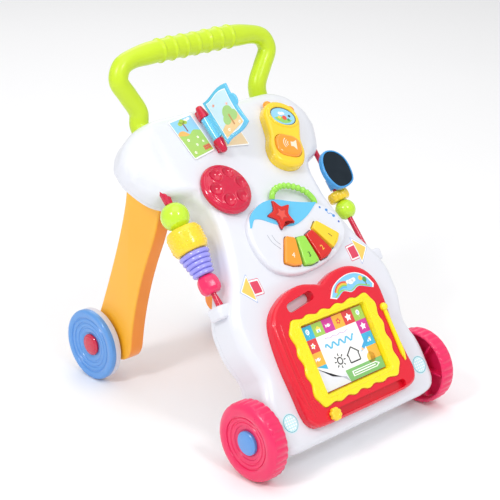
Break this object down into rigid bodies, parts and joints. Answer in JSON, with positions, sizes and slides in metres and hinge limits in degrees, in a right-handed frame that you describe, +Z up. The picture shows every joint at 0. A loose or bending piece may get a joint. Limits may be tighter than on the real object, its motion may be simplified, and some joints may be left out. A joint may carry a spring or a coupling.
{
  "type": "baby walker",
  "caption": "Push-along baby walker with a leaning activity panel, looped handle, spinning dial and beads, piano keys, turning page and lift-off drawing board.",
  "frame": {"origin": "on the floor, under the middle of the bounding box", "axes": "+Z up, the activity panel faces -Y, the child pushes from +Y; -X is on the left seen from the front, and left and right in names are as seen from the front"},
  "size_m": [0.34, 0.4518, 0.4812],
  "materials": {
    "white_shell": "satin moulded ABS",
    "lime_handle": "semi-gloss blow-moulded",
    "orange_leg": "semi-gloss",
    "pink_wheel": "gloss",
    "blue_wheel": "gloss",
    "pale_tyre": "matte soft plastic",
    "crimson": "gloss",
    "red": "gloss",
    "yellow": "gloss",
    "orange": "gloss",
    "green": "gloss",
    "sky_blue": "gloss",
    "lavender": "satin",
    "printed": "printed film",
    "steel": "plain",
    "mirror": "mirror film",
    "black": "matte",
    "circuit": "solder mask"
  },
  "bodies": {
    "body": {"front_shell": "white_shell", "rear_shell": "white_shell", "battery_cover": "white_shell", "piano_pod": "white_shell", "handle": "lime_handle", "rear_leg_left": "orange_leg", "rear_leg_right": "orange_leg", "front_axle": "steel", "rear_axle_left": "steel", "rear_axle_right": "steel", "battery_box": "black", "battery_1": "steel", "battery_2": "steel", "battery_3": "steel", "battery_cover_screw": "steel", "speaker": "black", "circuit_board": "circuit", "piano_handle": "green", "book_leaf_left": "printed", "book_leaf_right": "printed", "book_spine_cap_top": "crimson", "book_spine_cap_bottom": "crimson", "book_spine_pin": "steel", "phone_body": "yellow", "phone_lens": "sky_blue", "bead_rod_left": "crimson", "bead_rod_right": "crimson"},
    "front_wheel_left": {"front_wheel_left": "pink_wheel", "front_hub_cap_left": "blue_wheel"},
    "front_wheel_right": {"front_wheel_right": "pink_wheel", "front_hub_cap_right": "blue_wheel"},
    "rear_wheel_left": {"rear_wheel_left": "blue_wheel", "rear_tyre_left": "pale_tyre", "rear_hub_cap_left": "crimson"},
    "rear_wheel_right": {"rear_wheel_right": "blue_wheel", "rear_tyre_right": "pale_tyre", "rear_hub_cap_right": "crimson"},
    "page": {"book_page": "sky_blue", "book_page_print": "printed"},
    "dial": {"dial": "crimson"},
    "phone_button": {"phone_button": "orange"},
    "star_button": {"star_button": "red"},
    "key_orange": {"key_orange": "orange"},
    "key_green": {"key_green": "green"},
    "key_red": {"key_red": "red"},
    "key_yellow": {"key_yellow": "yellow"},
    "drawing_board": {"drawing_board": "red", "board_bezel": "yellow", "board_screen": "printed"},
    "stylus": {"stylus": "yellow"},
    "eraser_knob": {"eraser_knob": "yellow"},
    "bead_nut_pink": {"bead_nut_pink": "pink_wheel"},
    "bead_cone_lavender": {"bead_cone_lavender": "lavender"},
    "bead_barrel_yellow": {"bead_barrel_yellow": "yellow"},
    "bead_ball_lime": {"bead_ball_lime": "lime_handle"},
    "bead_small_ball_lime": {"bead_small_ball_lime": "lime_handle"},
    "bead_ring_yellow": {"bead_ring_yellow": "yellow"},
    "mirror": {"mirror_frame": "sky_blue", "mirror_glass": "mirror"},
    "power_switch": {"power_switch": "black"}
  },
  "joints": [
    {"name": "front_wheel_left_spin", "type": "hinge", "parent": "body", "child": "front_wheel_left", "pos_m": [-0.158, -0.173, 0.051], "axis": [1, 0, 0], "continuous": true},
    {"name": "front_wheel_right_spin", "type": "hinge", "parent": "body", "child": "front_wheel_right", "pos_m": [0.158, -0.173, 0.051], "axis": [1, 0, 0], "continuous": true},
    {"name": "rear_wheel_left_spin", "type": "hinge", "parent": "body", "child": "rear_wheel_left", "pos_m": [-0.1285, 0.174, 0.05], "axis": [1, 0, 0], "continuous": true},
    {"name": "rear_wheel_right_spin", "type": "hinge", "parent": "body", "child": "rear_wheel_right", "pos_m": [0.1285, 0.174, 0.05], "axis": [1, 0, 0], "continuous": true},
    {"name": "page_turn", "type": "hinge", "parent": "body", "child": "page", "pos_m": [-0.033, 0.0397, 0.37083], "axis": [0, 0.7431, 0.6691], "range_deg": [-80, 74]},
    {"name": "dial_spin", "type": "hinge", "parent": "body", "child": "dial", "pos_m": [-0.061, -0.02035, 0.31273], "axis": [0, -0.6691, 0.7431], "continuous": true},
    {"name": "phone_button_press", "type": "slide", "parent": "body", "child": "phone_button", "axis": [0, 0.6691, -0.7431], "range_m": [0, 0.003], "stiffness_N_per_m": 400},
    {"name": "star_button_press", "type": "slide", "parent": "body", "child": "star_button", "axis": [0, 0.7513, -0.66], "range_m": [0, 0.0025], "stiffness_N_per_m": 400},
    {"name": "key_orange_press", "type": "hinge", "parent": "body", "child": "key_orange", "pos_m": [-0.01015, -0.0806, 0.24815], "axis": [0.9205, -0.2579, -0.2935], "range_deg": [0, 4], "stiffness_Nm_per_rad": 0.25},
    {"name": "key_green_press", "type": "hinge", "parent": "body", "child": "key_green", "pos_m": [0.00644, -0.08312, 0.24527], "axis": [0.9986, -0.0345, -0.0393], "range_deg": [0, 4], "stiffness_Nm_per_rad": 0.25},
    {"name": "key_red_press", "type": "hinge", "parent": "body", "child": "key_red", "pos_m": [0.02333, -0.08175, 0.24683], "axis": [0.9563, 0.193, 0.2196], "range_deg": [0, 4], "stiffness_Nm_per_rad": 0.25},
    {"name": "key_yellow_press", "type": "hinge", "parent": "body", "child": "key_yellow", "pos_m": [0.03849, -0.07666, 0.25263], "axis": [0.7986, 0.3972, 0.4521], "range_deg": [0, 4], "stiffness_Nm_per_rad": 0.25},
    {"name": "board_lift", "type": "slide", "parent": "body", "child": "drawing_board", "axis": [0, -0.8231, 0.5678], "range_m": [0, 0.06]},
    {"name": "stylus_lift", "type": "slide", "parent": "drawing_board", "child": "stylus", "axis": [0, -0.8231, 0.5678], "range_m": [0, 0.03]},
    {"name": "eraser_slide", "type": "slide", "parent": "drawing_board", "child": "eraser_knob", "axis": [1, 0, 0], "range_m": [0, 0.122]},
    {"name": "nut_pink_spin", "type": "hinge", "parent": "body", "child": "bead_nut_pink", "pos_m": [-0.135, -0.06903, 0.21711], "axis": [0, 0.6627, 0.7489], "continuous": true},
    {"name": "cone_lavender_spin", "type": "hinge", "parent": "body", "child": "bead_cone_lavender", "pos_m": [-0.135, -0.05048, 0.23808], "axis": [0, 0.6627, 0.7489], "continuous": true},
    {"name": "barrel_yellow_spin", "type": "hinge", "parent": "body", "child": "bead_barrel_yellow", "pos_m": [-0.135, -0.02861, 0.26279], "axis": [0, 0.6627, 0.7489], "continuous": true},
    {"name": "ball_lime_spin", "type": "hinge", "parent": "body", "child": "bead_ball_lime", "pos_m": [-0.135, -0.00608, 0.28825], "axis": [0, 0.6627, 0.7489], "continuous": true},
    {"name": "small_ball_lime_spin", "type": "hinge", "parent": "body", "child": "bead_small_ball_lime", "pos_m": [0.135, -0.04518, 0.24407], "axis": [0, 0.6627, 0.7489], "continuous": true},
    {"name": "ring_yellow_spin", "type": "hinge", "parent": "body", "child": "bead_ring_yellow", "pos_m": [0.135, -0.03193, 0.25905], "axis": [0, 0.6627, 0.7489], "continuous": true},
    {"name": "mirror_swivel", "type": "hinge", "parent": "body", "child": "mirror", "pos_m": [0.135, -0.01138, 0.28226], "axis": [0, 0.6627, 0.7489], "range_deg": [-25, 40]},
    {"name": "power_switch_slide", "type": "slide", "parent": "body", "child": "power_switch", "axis": [1, 0, 0], "range_m": [0, 0.008]}
  ]
}
